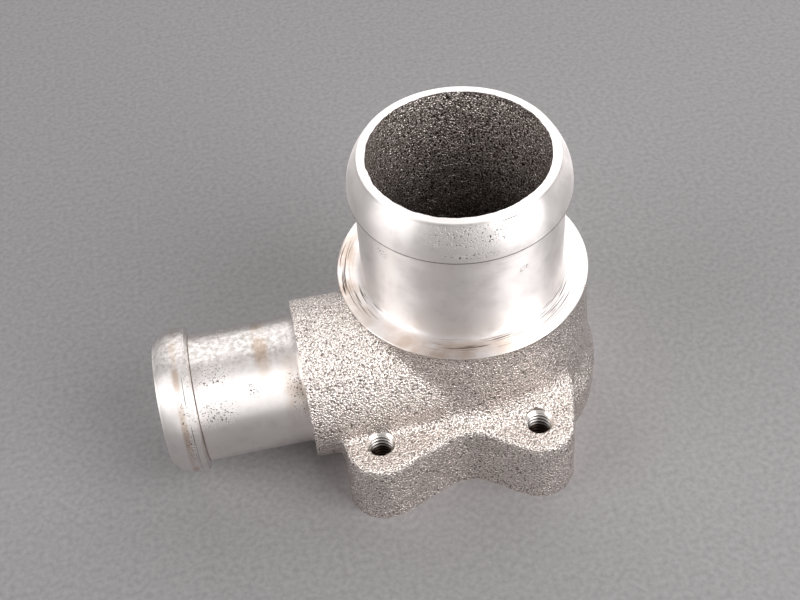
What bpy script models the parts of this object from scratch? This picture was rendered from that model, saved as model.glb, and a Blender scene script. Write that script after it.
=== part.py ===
"""Coolant flange: one aluminium sand casting with two machined hose necks.

A round barrel stands on a flat foot and carries the large hose neck.
A horizontal side boss carries the small hose neck, and two tapped ears
stand at the front of the foot. The part is built with the axis of the
large neck on the world Z axis and its joint face at Z = 0. It is then
moved so that the bottom centre of its box lies at the world origin.
"""

import math

import bmesh
import bpy
from mathutils import Matrix, Vector

MM = 0.001

# Cast barrel, and the round foot that stands out around it.
BARREL_TOP_RADIUS = 26.0 * MM
BARREL_DRAFT = math.radians(3.2)
FOOT_LEDGE = 3.1 * MM
FOOT_RADIUS = BARREL_TOP_RADIUS + FOOT_LEDGE
FOOT_HEIGHT = 7.3 * MM
FOOT_FLARE = 5.5 * MM

# Machined shoulder on top of the barrel.
SHOULDER_HEIGHT = 35.0 * MM
SHOULDER_LIP = 0.2 * MM
SHOULDER_RADIUS = BARREL_TOP_RADIUS + SHOULDER_LIP
SHOULDER_DEPTH = 2.2 * MM
SHOULDER_CHAMFER = 0.4 * MM
SHOULDER_STEP = 0.3 * MM

# Large hose neck, turned on the vertical axis and set in from the barrel.
NECK_LEDGE = 5.0 * MM
NECK_RADIUS = BARREL_TOP_RADIUS - NECK_LEDGE
NECK_LENGTH = 30.7 * MM
NECK_TOP = SHOULDER_HEIGHT + NECK_LENGTH
NECK_RIM_INSET = 1.1 * MM
NECK_RIM_RADIUS = NECK_RADIUS - NECK_RIM_INSET
NECK_RIM_ROUND = 0.3 * MM
NECK_BEAD_PROUD = 1.2 * MM
NECK_BEAD_RADIUS = NECK_RADIUS + NECK_BEAD_PROUD
NECK_BEAD_DROP = 7.1 * MM
NECK_BEAD_CREST = NECK_TOP - NECK_BEAD_DROP
NECK_BEAD_LIP = 0.9 * MM
NECK_BEAD_STEP = 0.7 * MM
NECK_ROOT_FILLET = 1.6 * MM

# Large bore, cored with a draft that narrows it towards the joint face.
NECK_WALL = 2.9 * MM
NECK_BORE_RADIUS = NECK_RADIUS - NECK_WALL
NECK_BORE_DRAFT = math.radians(0.6)

# Small hose neck on a horizontal axis that runs to -X, and the cast boss
# that carries it, which sits a little below that axis.
SIDE_AXIS_Y = -9.0 * MM
SIDE_AXIS_HEIGHT = 18.5 * MM
BOSS_WALL = 3.35 * MM
SMALL_RADIUS = 13.45 * MM
BOSS_RADIUS = SMALL_RADIUS + BOSS_WALL
BOSS_DROP = 0.3 * MM
BOSS_REACH = 11.0 * MM
BOSS_FACE = BARREL_TOP_RADIUS + BOSS_REACH
SMALL_LENGTH = 29.5 * MM
SMALL_END = BOSS_FACE + SMALL_LENGTH
SMALL_RIM_INSET = 0.55 * MM
SMALL_RIM_RADIUS = SMALL_RADIUS - SMALL_RIM_INSET
SMALL_RIM_ROUND = 0.3 * MM
SMALL_BEAD_PROUD = 1.75 * MM
SMALL_BEAD_RADIUS = SMALL_RADIUS + SMALL_BEAD_PROUD
SMALL_BEAD_DROP = 5.1 * MM
SMALL_BEAD_CREST = SMALL_END - SMALL_BEAD_DROP
SMALL_BEAD_LIP = 1.2 * MM
SMALL_BEAD_STEP = 1.6 * MM
SMALL_ROOT_FILLET = 0.8 * MM
SMALL_WALL = 3.05 * MM
SMALL_BORE_RADIUS = SMALL_RADIUS - SMALL_WALL
SMALL_BORE_DRAFT = math.radians(0.6)

# Two tapped ears, set out from the foot, and the hollow curve between them.
EAR_RADIUS = 7.75 * MM
EAR_HEIGHT = 16.0 * MM
EAR_DRAFT = math.radians(1.5)
EAR_LEFT_REACH = 7.790 * MM
EAR_LEFT_ANGLE = math.radians(-130.504)
EAR_RIGHT_REACH = 2.508 * MM
EAR_RIGHT_ANGLE = math.radians(-73.778)
VALLEY_REACH = 9.539 * MM
VALLEY_ANGLE = math.radians(-100.437)
VALLEY_RADIUS = 7.9 * MM
EAR_FLANK_ANGLE = math.radians(-49.0)
SKIRT_REACH = 4.5 * MM

# Tapped holes: the drilled core of an M6 thread with a chamfered mouth.
TAP_CORE_RADIUS = 2.5 * MM
TAP_MOUTH_RADIUS = 3.3 * MM

# Seal groove in the joint face, set out from the bore.
GROOVE_LAND = 2.5 * MM
GROOVE_INNER = NECK_BORE_RADIUS + GROOVE_LAND
GROOVE_WIDTH = 3.8 * MM
GROOVE_DEPTH = 2.2 * MM

# Machining stock that the trimming cuts remove, and overlap inside a joint.
STOCK = 3.0 * MM
OVERLAP = 2.0 * MM

# Roundness of the casting: the size of its blend grid and the passes over it.
BLEND_GRID = 0.9 * MM
BLEND_PASSES = 9
CAST_FACES = 0.18

LARGE_STEPS = 64
SMALL_STEPS = 52
BORE_STEPS = 44
HOLE_STEPS = 20
ARC_STEPS = 5


def clear_scene():
    for obj in list(bpy.data.objects):
        bpy.data.objects.remove(obj, do_unlink=True)


def new_collection(name):
    collection = bpy.data.collections.new(name)
    bpy.context.scene.collection.children.link(collection)
    return collection


def link_mesh(name, mesh, collection):
    obj = bpy.data.objects.new(name, mesh)
    collection.objects.link(obj)
    return obj


def baked(obj):
    """The object with its modifiers applied and its placement in the mesh."""
    bpy.context.view_layer.update()
    graph = bpy.context.evaluated_depsgraph_get()
    mesh = bpy.data.meshes.new_from_object(obj.evaluated_get(graph))
    mesh.transform(obj.matrix_world)
    obj.modifiers.clear()
    obj.data = mesh
    obj.matrix_world = Matrix.Identity(4)
    return obj


def turned(name, profile, steps, collection, ring=False):
    """A solid of revolution: the profile runs down its outer side.

    A ring has a closed section that stays clear of the axis.
    """
    mesh = bpy.data.meshes.new(name)
    points = [(radius, 0.0, height) for radius, height in profile]
    edges = [(i, i + 1) for i in range(len(points) - 1)]
    if ring:
        edges.append((len(points) - 1, 0))
    mesh.from_pydata(points, edges, [])
    obj = link_mesh(name, mesh, collection)
    screw = obj.modifiers.new("Turn", "SCREW")
    screw.steps = steps
    screw.render_steps = steps
    screw.use_merge_vertices = True
    screw.merge_threshold = 0.00001
    return baked(obj)


def onto_side_axis(obj):
    """Lays a turned piece along the side axis, its top end towards -X."""
    turn = Matrix.Rotation(math.radians(-90.0), 4, "Y")
    move = Matrix.Translation((0.0, SIDE_AXIS_Y, SIDE_AXIS_HEIGHT))
    obj.data.transform(move @ turn)
    return obj


def arc(centre, radius, start, end, steps=ARC_STEPS):
    """Points of an arc from angle start to angle end, in radians."""
    angles = [start + (end - start) * i / steps for i in range(steps + 1)]
    return [
        (centre[0] + radius * math.cos(angle), centre[1] + radius * math.sin(angle))
        for angle in angles
    ]


def dome(rim, crest, steps=ARC_STEPS):
    """Points of an arc from the rim that is upright where it meets the crest."""
    drop = crest[0] - rim[0]
    rise = rim[1] - crest[1]
    radius = (rise**2 + drop**2) / (2 * drop)
    return arc((crest[0] - radius, crest[1]), radius, math.asin(rise / radius), 0.0, steps)


def neck_profile(top, rim, rim_round, bead, radius, root, fillet):
    """Outer profile of a hose neck, from the axis at its free end down.

    bead is (radius, crest height, height of its lip, height of its step),
    and root is the height of the face that the neck stands on.
    """
    bead_radius, crest, lip, step = bead
    points = [(0.0, top)]
    points += arc((rim - rim_round, top - rim_round), rim_round, math.pi / 2, 0.0, 2)
    points += dome((rim, top - rim_round), (bead_radius, crest))[1:]
    points.append((bead_radius, crest - lip))
    points.append((radius, crest - lip - step))
    points += arc((radius + fillet, root + fillet), fillet, math.pi, 1.5 * math.pi, 4)
    points.append((radius + fillet, root - OVERLAP))
    points.append((0.0, root - OVERLAP))
    return points


def beyond_foot(reach, angle):
    """A place in plan at a distance outside the foot, at an angle about its axis."""
    distance = FOOT_RADIUS + reach
    return Vector((distance * math.cos(angle), distance * math.sin(angle)))


def left_ear():
    return beyond_foot(EAR_LEFT_REACH, EAR_LEFT_ANGLE)


def right_ear():
    return beyond_foot(EAR_RIGHT_REACH, EAR_RIGHT_ANGLE)


def tangent_angles(centre, radius, other, other_radius, side):
    """Angles at which the inner tangent of two circles touches each."""
    gap = other - centre
    swing = math.acos((radius + other_radius) / gap.length)
    angle = math.atan2(gap.y, gap.x) + side * swing
    return angle, angle + math.pi


def ear_outline(draft):
    """Plan of the ears and the wall between them, drawn in by draft."""
    left = left_ear()
    right = right_ear()
    hollow = beyond_foot(VALLEY_REACH, VALLEY_ANGLE)
    ear = EAR_RADIUS - draft
    valley = VALLEY_RADIUS + draft
    left_end, valley_start = tangent_angles(left, ear, hollow, valley, -1.0)
    right_start, valley_end = tangent_angles(right, ear, hollow, valley, 1.0)
    flank = (FOOT_RADIUS - draft) * Vector((math.cos(EAR_FLANK_ANGLE), math.sin(EAR_FLANK_ANGLE)))
    reach = flank - right
    right_end = math.atan2(reach.y, reach.x) - math.acos(ear / reach.length)
    points = [(left.x - ear, SIDE_AXIS_Y)]
    points += arc(left, ear, -math.pi, wrapped(left_end, -math.pi), 14)
    points += arc(hollow, valley, wrapped(valley_start, 0.0), wrapped(valley_end, 0.0), 12)
    points += arc(right, ear, wrapped(right_start, -math.pi), right_end, 14)
    points.append((flank.x, flank.y))
    points.append((0.5 * flank.x, 0.5 * flank.y))
    points.append((-BARREL_TOP_RADIUS / 2, SIDE_AXIS_Y))
    return points


def wrapped(angle, lowest):
    """The same angle in the turn that starts at lowest."""
    return lowest + (angle - lowest) % (2 * math.pi)


def lofted(name, levels, collection):
    """A closed solid through outlines of equal length at rising heights."""
    work = bmesh.new()
    rings = []
    for height, outline in levels:
        ring = [work.verts.new((x, y, height)) for x, y in outline]
        edges = [work.edges.new((ring[i - 1], ring[i])) for i in range(len(ring))]
        rings.append((ring, edges))
    for (_, lower), (_, upper) in zip(rings, rings[1:]):
        bmesh.ops.bridge_loops(work, edges=lower + upper)
    work.faces.new(rings[0][0])
    work.faces.new(rings[-1][0])
    bmesh.ops.recalc_face_normals(work, faces=work.faces)
    mesh = bpy.data.meshes.new(name)
    work.to_mesh(mesh)
    work.free()
    return link_mesh(name, mesh, collection)


def ear_block(name, top, collection):
    """The ears as a drafted block from under the joint face up to top."""
    levels = []
    for height in (-STOCK, top):
        levels.append((height, ear_outline(height * math.tan(EAR_DRAFT))))
    return lofted(name, levels, collection)


def add_boolean(obj, other, operation):
    """Joins or cuts obj by a helper, which stays out of the model.

    The forms share planes and the blended surface is dense and uneven. The
    exact solver fails on both, so every step uses the manifold solver.
    """
    boolean = obj.modifiers.new(f"{operation.title()} {other.name}", "BOOLEAN")
    boolean.operation = operation
    boolean.solver = "MANIFOLD"
    boolean.object = other
    other.hide_render = True
    other.display_type = "WIRE"


def barrel_radius(height):
    """Radius of the drafted barrel wall at a height above the joint face."""
    return BARREL_TOP_RADIUS + (SHOULDER_HEIGHT - height) * math.tan(BARREL_DRAFT)


def barrel(collection):
    """Barrel and foot in one turned profile, with stock above and below."""
    above = SHOULDER_HEIGHT + STOCK
    waist = FOOT_HEIGHT + FOOT_FLARE
    profile = [(0.0, above), (barrel_radius(above), above), (barrel_radius(waist), waist)]
    profile += [(FOOT_RADIUS, FOOT_HEIGHT), (FOOT_RADIUS, -STOCK), (0.0, -STOCK)]
    return turned("barrel", profile, LARGE_STEPS, collection)


def ear_skirt(collection):
    """Hollow fillet between the barrel and the top of the ears."""
    top = EAR_HEIGHT + SKIRT_REACH
    wall = barrel_radius(top)
    profile = [(0.0, top), (wall, top)]
    profile += arc((wall + SKIRT_REACH, top), SKIRT_REACH, math.pi, 1.5 * math.pi)[1:]
    below = EAR_HEIGHT - OVERLAP
    profile += [(wall + SKIRT_REACH, below), (0.0, below)]
    skirt = turned("ear_skirt", profile, LARGE_STEPS, collection)
    limit = ear_block("skirt_limit", top + OVERLAP, collection)
    add_boolean(skirt, limit, "INTERSECT")
    return baked(skirt)


def boss(collection):
    """Horizontal boss, with stock on its face, running into the barrel."""
    face = BOSS_FACE + STOCK
    profile = [(0.0, face), (BOSS_RADIUS, face), (BOSS_RADIUS, 0.0), (0.0, 0.0)]
    form = onto_side_axis(turned("side_boss", profile, LARGE_STEPS, collection))
    form.data.transform(Matrix.Translation((0.0, 0.0, -BOSS_DROP)))
    return form


def box(name, low, high, collection):
    """A box between two corners."""
    size = Vector(high) - Vector(low)
    middle = (Vector(high) + Vector(low)) / 2
    work = bmesh.new()
    place = Matrix.Translation(middle) @ Matrix.Diagonal((*size, 1.0))
    bmesh.ops.create_cube(work, size=1.0, matrix=place)
    mesh = bpy.data.meshes.new(name)
    work.to_mesh(mesh)
    work.free()
    return link_mesh(name, mesh, collection)


def trim_boxes(collection):
    """Cuts that face the foot, the top of the barrel and the boss."""
    far = 4 * FOOT_RADIUS
    yield box("face_foot", (-far, -far, -far), (far, far, 0.0), collection)
    yield box("face_barrel", (-far, -far, SHOULDER_HEIGHT - SHOULDER_STEP), (far, far, far), collection)
    yield box("face_boss", (-far, -far, -far), (-BOSS_FACE, far, far), collection)


def blended_casting(cast, collection):
    """The cast body: joined forms, blended like a sand casting, then faced."""
    body = barrel(cast)
    for piece in (boss(collection), ear_block("ears", EAR_HEIGHT, collection), ear_skirt(collection)):
        add_boolean(body, piece, "UNION")
    body = baked(body)
    grid = body.modifiers.new("Blend grid", "REMESH")
    grid.mode = "VOXEL"
    grid.voxel_size = BLEND_GRID
    smooth = body.modifiers.new("Blend", "SMOOTH")
    smooth.factor = 0.5
    smooth.iterations = BLEND_PASSES
    thin = body.modifiers.new("Fewer faces", "DECIMATE")
    thin.ratio = CAST_FACES
    for cutter in trim_boxes(collection):
        add_boolean(body, cutter, "DIFFERENCE")
    return baked(body)


def shoulder(collection):
    """Machined collar that caps the barrel."""
    top = SHOULDER_HEIGHT
    bottom = top - SHOULDER_DEPTH
    radius = SHOULDER_RADIUS
    profile = [(0.0, top), (radius - SHOULDER_CHAMFER, top), (radius, top - SHOULDER_CHAMFER)]
    profile += [(radius, bottom), (0.0, bottom)]
    return turned("shoulder", profile, LARGE_STEPS, collection)


def large_neck(collection):
    bead = (NECK_BEAD_RADIUS, NECK_BEAD_CREST, NECK_BEAD_LIP, NECK_BEAD_STEP)
    profile = neck_profile(
        NECK_TOP, NECK_RIM_RADIUS, NECK_RIM_ROUND, bead, NECK_RADIUS, SHOULDER_HEIGHT, NECK_ROOT_FILLET
    )
    return turned("large_neck", profile, LARGE_STEPS, collection)


def small_neck(collection):
    bead = (SMALL_BEAD_RADIUS, SMALL_BEAD_CREST, SMALL_BEAD_LIP, SMALL_BEAD_STEP)
    profile = neck_profile(
        SMALL_END, SMALL_RIM_RADIUS, SMALL_RIM_ROUND, bead, SMALL_RADIUS, BOSS_FACE, SMALL_ROOT_FILLET
    )
    return onto_side_axis(turned("small_neck", profile, SMALL_STEPS, collection))


def large_bore(collection):
    """Vertical core, open at the rim and at the joint face."""
    top = NECK_TOP + STOCK
    slope = math.tan(NECK_BORE_DRAFT)
    upper = NECK_BORE_RADIUS + STOCK * slope
    lower = NECK_BORE_RADIUS - (NECK_TOP + STOCK) * slope
    profile = [(0.0, top), (upper, top), (lower, -STOCK), (0.0, -STOCK)]
    return turned("large_bore", profile, LARGE_STEPS, collection)


def small_bore(collection):
    """Horizontal core, from the free end into the large bore."""
    end = SMALL_END + STOCK
    slope = math.tan(SMALL_BORE_DRAFT)
    outer = SMALL_BORE_RADIUS + STOCK * slope
    inner = SMALL_BORE_RADIUS - SMALL_END * slope
    profile = [(0.0, end), (outer, end), (inner, 0.0), (0.0, 0.0)]
    return onto_side_axis(turned("small_bore", profile, BORE_STEPS, collection))


def seal_groove(collection):
    """Ring-shaped cutter for the seal groove, turned as a closed section."""
    outer = GROOVE_INNER + GROOVE_WIDTH
    profile = [(GROOVE_INNER, GROOVE_DEPTH), (outer, GROOVE_DEPTH), (outer, -STOCK), (GROOVE_INNER, -STOCK)]
    return turned("seal_groove", profile, LARGE_STEPS, collection, ring=True)


def tapped_hole(name, place, collection):
    """Through hole of a tapped ear, chamfered at its top.

    Its mouth is cut upright into the blend between the ear and the body.
    """
    above = EAR_HEIGHT + STOCK
    core_top = EAR_HEIGHT - (TAP_MOUTH_RADIUS - TAP_CORE_RADIUS)
    profile = [(0.0, above), (TAP_MOUTH_RADIUS, above), (TAP_MOUTH_RADIUS, EAR_HEIGHT)]
    profile += [(TAP_CORE_RADIUS, core_top), (TAP_CORE_RADIUS, -STOCK), (0.0, -STOCK)]
    hole = turned(name, profile, HOLE_STEPS, collection)
    hole.data.transform(Matrix.Translation((place.x, place.y, 0.0)))
    return hole


def box_centre():
    """Middle of the part's plan, from the sizes that reach furthest."""
    left = -SMALL_END
    right = FOOT_RADIUS
    front = min(left_ear().y, right_ear().y) - EAR_RADIUS
    back = FOOT_RADIUS
    return Vector(((left + right) / 2, (front + back) / 2, 0.0))


def aluminium():
    material = bpy.data.materials.new("sand-cast aluminium")
    material.use_nodes = True
    shader = material.node_tree.nodes["Principled BSDF"]
    shader.inputs["Base Color"].default_value = (0.58, 0.57, 0.55, 1.0)
    shader.inputs["Metallic"].default_value = 1.0
    shader.inputs["Roughness"].default_value = 0.45
    return material


def main():
    clear_scene()
    cast = new_collection("coolant_flange")
    helpers = new_collection("cutters_and_forms")
    casting = blended_casting(cast, helpers)
    casting.name = "flange_casting"
    for piece in (shoulder(helpers), large_neck(helpers), small_neck(helpers)):
        add_boolean(casting, piece, "UNION")
    cuts = [large_bore(helpers), small_bore(helpers), seal_groove(helpers)]
    cuts += [tapped_hole("left_tapped_hole", left_ear(), helpers)]
    cuts += [tapped_hole("right_tapped_hole", right_ear(), helpers)]
    for cutter in cuts:
        add_boolean(casting, cutter, "DIFFERENCE")
    baked(casting)
    casting.data.transform(Matrix.Translation(-box_centre()))
    casting.data.name = "flange_casting"
    casting.data.materials.clear()
    casting.data.materials.append(aluminium())
    casting.data.shade_smooth()
    casting.data.set_sharp_from_angle(angle=math.radians(30.0))


main()
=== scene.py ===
# %% [markdown]
# # Coolant flange
#
# This lesson dresses one engine part: a cast aluminium flange that joins two
# coolant hoses to an engine block. A round barrel stands on a flat joint
# face and carries a large hose neck. A boss on its side carries a small hose
# neck, and two tapped ears stand at the front.
#
# The real part is one sand casting. Its necks, shoulder, threads and joint
# face are machined afterwards. The model is made in the same order: rough
# forms are joined and blended, then turned pieces are added and bores are
# cut. Each tool leaves its own finish on the faces that it cuts.

# %% Load the frame
import math

import bmesh
import bpy
from mathutils import Matrix, Vector, noise


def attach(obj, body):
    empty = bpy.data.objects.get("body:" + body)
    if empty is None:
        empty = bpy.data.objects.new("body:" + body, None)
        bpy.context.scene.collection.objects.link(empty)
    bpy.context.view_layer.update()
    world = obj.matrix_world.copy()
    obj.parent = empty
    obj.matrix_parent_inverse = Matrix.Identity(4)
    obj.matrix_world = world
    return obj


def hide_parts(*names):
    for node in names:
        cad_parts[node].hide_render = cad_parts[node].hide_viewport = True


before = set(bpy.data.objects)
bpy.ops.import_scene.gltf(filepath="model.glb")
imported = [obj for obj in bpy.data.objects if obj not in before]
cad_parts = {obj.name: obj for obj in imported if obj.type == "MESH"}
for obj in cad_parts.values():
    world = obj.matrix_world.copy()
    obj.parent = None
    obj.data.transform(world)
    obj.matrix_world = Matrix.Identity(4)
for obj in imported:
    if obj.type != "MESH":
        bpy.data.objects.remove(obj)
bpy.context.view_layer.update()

MM = 0.001

# %% [markdown]
# ## Where the part stands
#
# The casting is easiest to draw around the axis of its large neck. The frame
# has its origin below the middle of the part, so the finished mesh is moved
# by one fixed step at the end. Materials need the same two axes, because
# turning marks run around them.

# %% Axes of the part
TO_FRAME = Vector((18.7, 4.5, 0.0)) * MM
SIDE_AXIS_Y = -9.0 * MM
SIDE_AXIS_HEIGHT = 18.5 * MM
NECK_AXIS = TO_FRAME.copy()
SIDE_AXIS = TO_FRAME + Vector((0.0, SIDE_AXIS_Y, SIDE_AXIS_HEIGHT))
print("large neck axis at", [round(value / MM, 2) for value in NECK_AXIS.xy], "mm")

# %% [markdown]
# ## Camera
#
# The photograph looks down on the part by 48 degrees, with a slight roll.
# Its camera was worked out from the ellipses of the large neck, and its
# focal length is told in pixels of the picture. A camera looks along its own
# -Z, with +Y up, so it is tipped up from looking straight down, turned about
# the vertical, and rolled about its own line of sight.

# %% Camera
PITCH = math.radians(48.04)
ROLL = math.radians(-4.98)
HEADING = math.radians(-7.67)
CAMERA_PLACE = Vector((-19.13, -174.54, 227.77)) * MM
FOCAL_PIXELS = 1267.0
PICTURE_WIDTH = 800.0
SENSOR_WIDTH = 36.0

camera_data = bpy.data.cameras.new("camera")
camera_data.sensor_width = SENSOR_WIDTH
camera_data.lens = FOCAL_PIXELS / PICTURE_WIDTH * SENSOR_WIDTH
camera = bpy.data.objects.new("camera", camera_data)
level = Matrix.Rotation(math.pi / 2 - PITCH, 3, "X")
turn = Matrix.Rotation(HEADING, 3, "Z")
roll = Matrix.Rotation(ROLL, 3, "Z")
camera.matrix_world = Matrix.Translation(CAMERA_PLACE) @ (turn @ level @ roll).to_4x4()
bpy.context.scene.collection.objects.link(camera)
bpy.context.scene.camera = camera
bpy.context.scene.view_settings.view_transform = "Standard"
print("lens", round(camera_data.lens, 2), "mm")

# %% [markdown]
# ## Nodes and colours
#
# Every material below is a small graph of nodes. One function adds a node,
# sets its options, fills its sockets with values or links, and hands back
# the output that the next node reads. Colours are written as sRGB hex
# values, the way a picture editor shows them, and Blender wants them as
# linear light. The Mix node keeps its two colours and its result at fixed
# places in its lists of sockets.

# %% Helpers for materials
MIX_A, MIX_B, MIX_RESULT = 6, 7, 2


def linear(hex_colour):
    """An sRGB hex colour as linear RGBA."""
    parts = [int(hex_colour[i : i + 2], 16) / 255 for i in (1, 3, 5)]
    light = [c / 12.92 if c <= 0.04045 else ((c + 0.055) / 1.055) ** 2.4 for c in parts]
    return (*light, 1.0)


def add(tree, kind, sockets, output=0, **settings):
    """Adds a node and returns one output; sockets maps a name or index to a value or a link."""
    made = tree.nodes.new(kind)
    for name, value in settings.items():
        setattr(made, name, value)
    for socket, value in sockets.items():
        if isinstance(value, bpy.types.NodeSocket):
            tree.links.new(value, made.inputs[socket])
        else:
            made.inputs[socket].default_value = value
    return made.outputs[output]


def new_material(name):
    """An empty node material: its tree, its shader and its object coordinates."""
    material = bpy.data.materials.new(name)
    material.use_nodes = True
    tree = material.node_tree
    place = tree.nodes.new("ShaderNodeTexCoord").outputs["Object"]
    return material, tree, tree.nodes["Principled BSDF"], place


print("black is", linear("#000000"), "and white is", linear("#FFFFFF"))

# %% [markdown]
# ## Floor
#
# The part lies on a sheet of plain grey card. One large face is enough. A
# soft noise of paper fibres keeps its colour from being quite even, drawn
# coarser than real fibres so that it shows. Card has hardly any gloss, so
# the specular level is near zero.

# %% Floor
FLOOR_LIGHT = "#B4B1B2"
FLOOR_DARK = "#A29FA0"
FLOOR_REACH = 0.6
FIBRE = 1.2 * MM

floor_mesh = bpy.data.meshes.new("floor")
work = bmesh.new()
bmesh.ops.create_grid(work, x_segments=1, y_segments=1, size=FLOOR_REACH)
work.to_mesh(floor_mesh)
work.free()
floor = bpy.data.objects.new("floor", floor_mesh)
bpy.context.scene.collection.objects.link(floor)

card, tree, shader, place = new_material("matt grey card")
mottle = add(tree, "ShaderNodeTexNoise", {"Vector": place, "Scale": 1 / FIBRE, "Detail": 4.0})
mottle = add(tree, "ShaderNodeMapRange", {"Value": mottle, "From Min": 0.3, "From Max": 0.7})
tones = {"Factor": mottle, MIX_A: linear(FLOOR_DARK), MIX_B: linear(FLOOR_LIGHT)}
grey = add(tree, "ShaderNodeMix", tones, MIX_RESULT, data_type="RGBA")
tree.links.new(grey, shader.inputs["Base Color"])
shader.inputs["Roughness"].default_value = 0.8
shader.inputs["Specular IOR Level"].default_value = 0.05
floor_mesh.materials.append(card)
print("floor", FLOOR_DARK, "to", FLOOR_LIGHT)

# %% [markdown]
# ## Lamps
#
# Soft light comes from four panels. The left one and the right one give the
# round necks two bright bands with a darker one between them. The panel
# behind lights the floor and the rims, and a low, weak one in front keeps
# the ears' walls from going dark.

# %% Lamps
AIM = Vector((5.0, -5.0, 25.0)) * MM


def panel(name, azimuth, elevation, distance, width, height, brightness):
    """A soft panel lamp that faces the part; azimuth 0 is behind the camera.

    Its power follows from its brightness, where 1 looks like white paper.
    """
    lamp_data = bpy.data.lights.new(name, "AREA")
    lamp_data.shape = "RECTANGLE"
    lamp_data.size = width
    lamp_data.size_y = height
    lamp_data.energy = brightness * math.pi * width * height
    lamp = bpy.data.objects.new(name, lamp_data)
    side = math.radians(azimuth) + HEADING
    rise = math.radians(elevation)
    level = math.cos(rise)
    away = Vector((math.sin(side) * level, -math.cos(side) * level, math.sin(rise)))
    lamp.visible_camera = False
    lamp.location = AIM + away * distance
    lamp.rotation_mode = "QUATERNION"
    lamp.rotation_quaternion = away.to_track_quat("Z", "Y")
    bpy.context.scene.collection.objects.link(lamp)
    print(name, "at", [round(value, 2) for value in lamp.location])


# The name, then the azimuth and elevation in degrees, the distance, width
# and height in metres, and the brightness.
PANELS = [
    ("left panel", -72.0, 30.0, 0.8, 0.6, 0.7, 2.1),
    ("right panel", 56.0, 32.0, 0.8, 0.6, 0.8, 3.4),
    ("rear panel", 160.0, 38.0, 0.9, 1.3, 1.1, 1.4),
    ("front panel", 28.0, 14.0, 0.9, 0.9, 0.35, 0.6),
]

for values in PANELS:
    panel(*values)

# %% [markdown]
# ## Room
#
# Bare metal shows what stands around it. The world is therefore a plain
# pale room, but only for reflections and for the camera: it adds no light of
# its own to matt surfaces, which would wash out the shadows.

# %% Room
ROOM_SEEN = 0.6
ROOM_PALE = "#F2EFEE"

world = bpy.data.worlds.new("soft room")
world.use_nodes = True
tree = world.node_tree
rays = tree.nodes.new("ShaderNodeLightPath").outputs
kinds = {0: rays["Is Camera Ray"], 1: rays["Is Glossy Ray"]}
seen = add(tree, "ShaderNodeMath", kinds, operation="MAXIMUM")
level = add(tree, "ShaderNodeMath", {0: seen, 1: ROOM_SEEN}, operation="MULTIPLY")
room = tree.nodes["Background"]
room.inputs["Color"].default_value = linear(ROOM_PALE)
tree.links.new(level, room.inputs["Strength"])
bpy.context.scene.world = world
print("room seen at", ROOM_SEEN)

# %% [markdown]
# ## Sand-cast aluminium
#
# Sand leaves a skin of small grains, about a third of a millimetre across.
# To the eye the metal sparkles: facets that face a lamp are bright, and the
# pits between them stay dark. One noise of that grain size drives the bump,
# darkens the pits and smooths the peaks, so the three always agree. The
# pits' darker colour is partly the skin's own tone and partly painted shade
# in its hollows.

# %% Sand-cast aluminium
GRAIN = 0.36 * MM
# Real grains stand out by about 0.1 mm. Seen from this far, they need a
# deeper bump to sparkle as they do.
GRAIN_DEPTH = 0.46 * MM
CAST_LIGHT = "#F8EFE9"
# The colour of the pits: partly the skin's own tone, partly painted shade.
CAST_PIT_TONE_AND_SHADE = "#6C5F57"

cast_skin, tree, shader, place = new_material("sand-cast aluminium")
grain = add(tree, "ShaderNodeTexNoise", {"Vector": place, "Scale": 1 / GRAIN, "Detail": 1.0})
# Painted shade: the pits between the grains are darkened in colour, partly their own tone and
# partly shade painted into the hollows.
pit_tone_and_shade = add(tree, "ShaderNodeMapRange", {"Value": grain, "From Min": 0.3, "From Max": 0.54})
tones = {"Factor": pit_tone_and_shade, MIX_A: linear(CAST_PIT_TONE_AND_SHADE), MIX_B: linear(CAST_LIGHT)}
tint = add(tree, "ShaderNodeMix", tones, MIX_RESULT, data_type="RGBA")
tree.links.new(tint, shader.inputs["Base Color"])
shader.inputs["Metallic"].default_value = 1.0
limits = {"From Min": 0.3, "From Max": 0.7, "To Min": 0.34, "To Max": 0.16}
gloss = add(tree, "ShaderNodeMapRange", {"Value": grain, **limits})
tree.links.new(gloss, shader.inputs["Roughness"])
bump = add(tree, "ShaderNodeBump", {"Height": grain, "Distance": GRAIN_DEPTH, "Strength": 1.0})
tree.links.new(bump, shader.inputs["Normal"])
print("cast grain", GRAIN / MM, "mm")

# %% [markdown]
# ## Places on a turned neck
#
# A lathe leaves very fine rings around the axis. They spread a reflection
# along the axis and keep it narrow around it, so a round neck shows straight
# bright bands. The Principled shader does this with its anisotropy, which
# needs the direction of the rings: the axis crossed with the place.
#
# Use has marked the necks with stains, pits and scratches. Each kind of mark
# is one pattern that shows only at a few places. A place is told by its path
# down the section, which is the height minus the radius, and by its turn
# around the axis, so one way of telling it serves both necks.

# %% Places on a turned neck
def ring_places(tree, place, axis, centre, front, side):
    """The direction of the rings, and the radius, path and turn of a place."""
    arm = add(tree, "ShaderNodeVectorMath", {0: place, 1: centre}, operation="SUBTRACT")
    around = add(tree, "ShaderNodeVectorMath", {0: axis, 1: arm}, operation="CROSS_PRODUCT")
    radius = add(tree, "ShaderNodeVectorMath", {0: around}, "Value", operation="LENGTH")
    height, ahead, aside = [
        add(tree, "ShaderNodeVectorMath", {0: arm, 1: direction}, "Value", operation="DOT_PRODUCT")
        for direction in (axis, front, side)
    ]
    path = add(tree, "ShaderNodeMath", {0: height, 1: radius}, operation="SUBTRACT")
    turn = add(tree, "ShaderNodeMath", {0: aside, 1: ahead}, operation="ARCTAN2")
    return around, radius, path, turn


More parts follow.
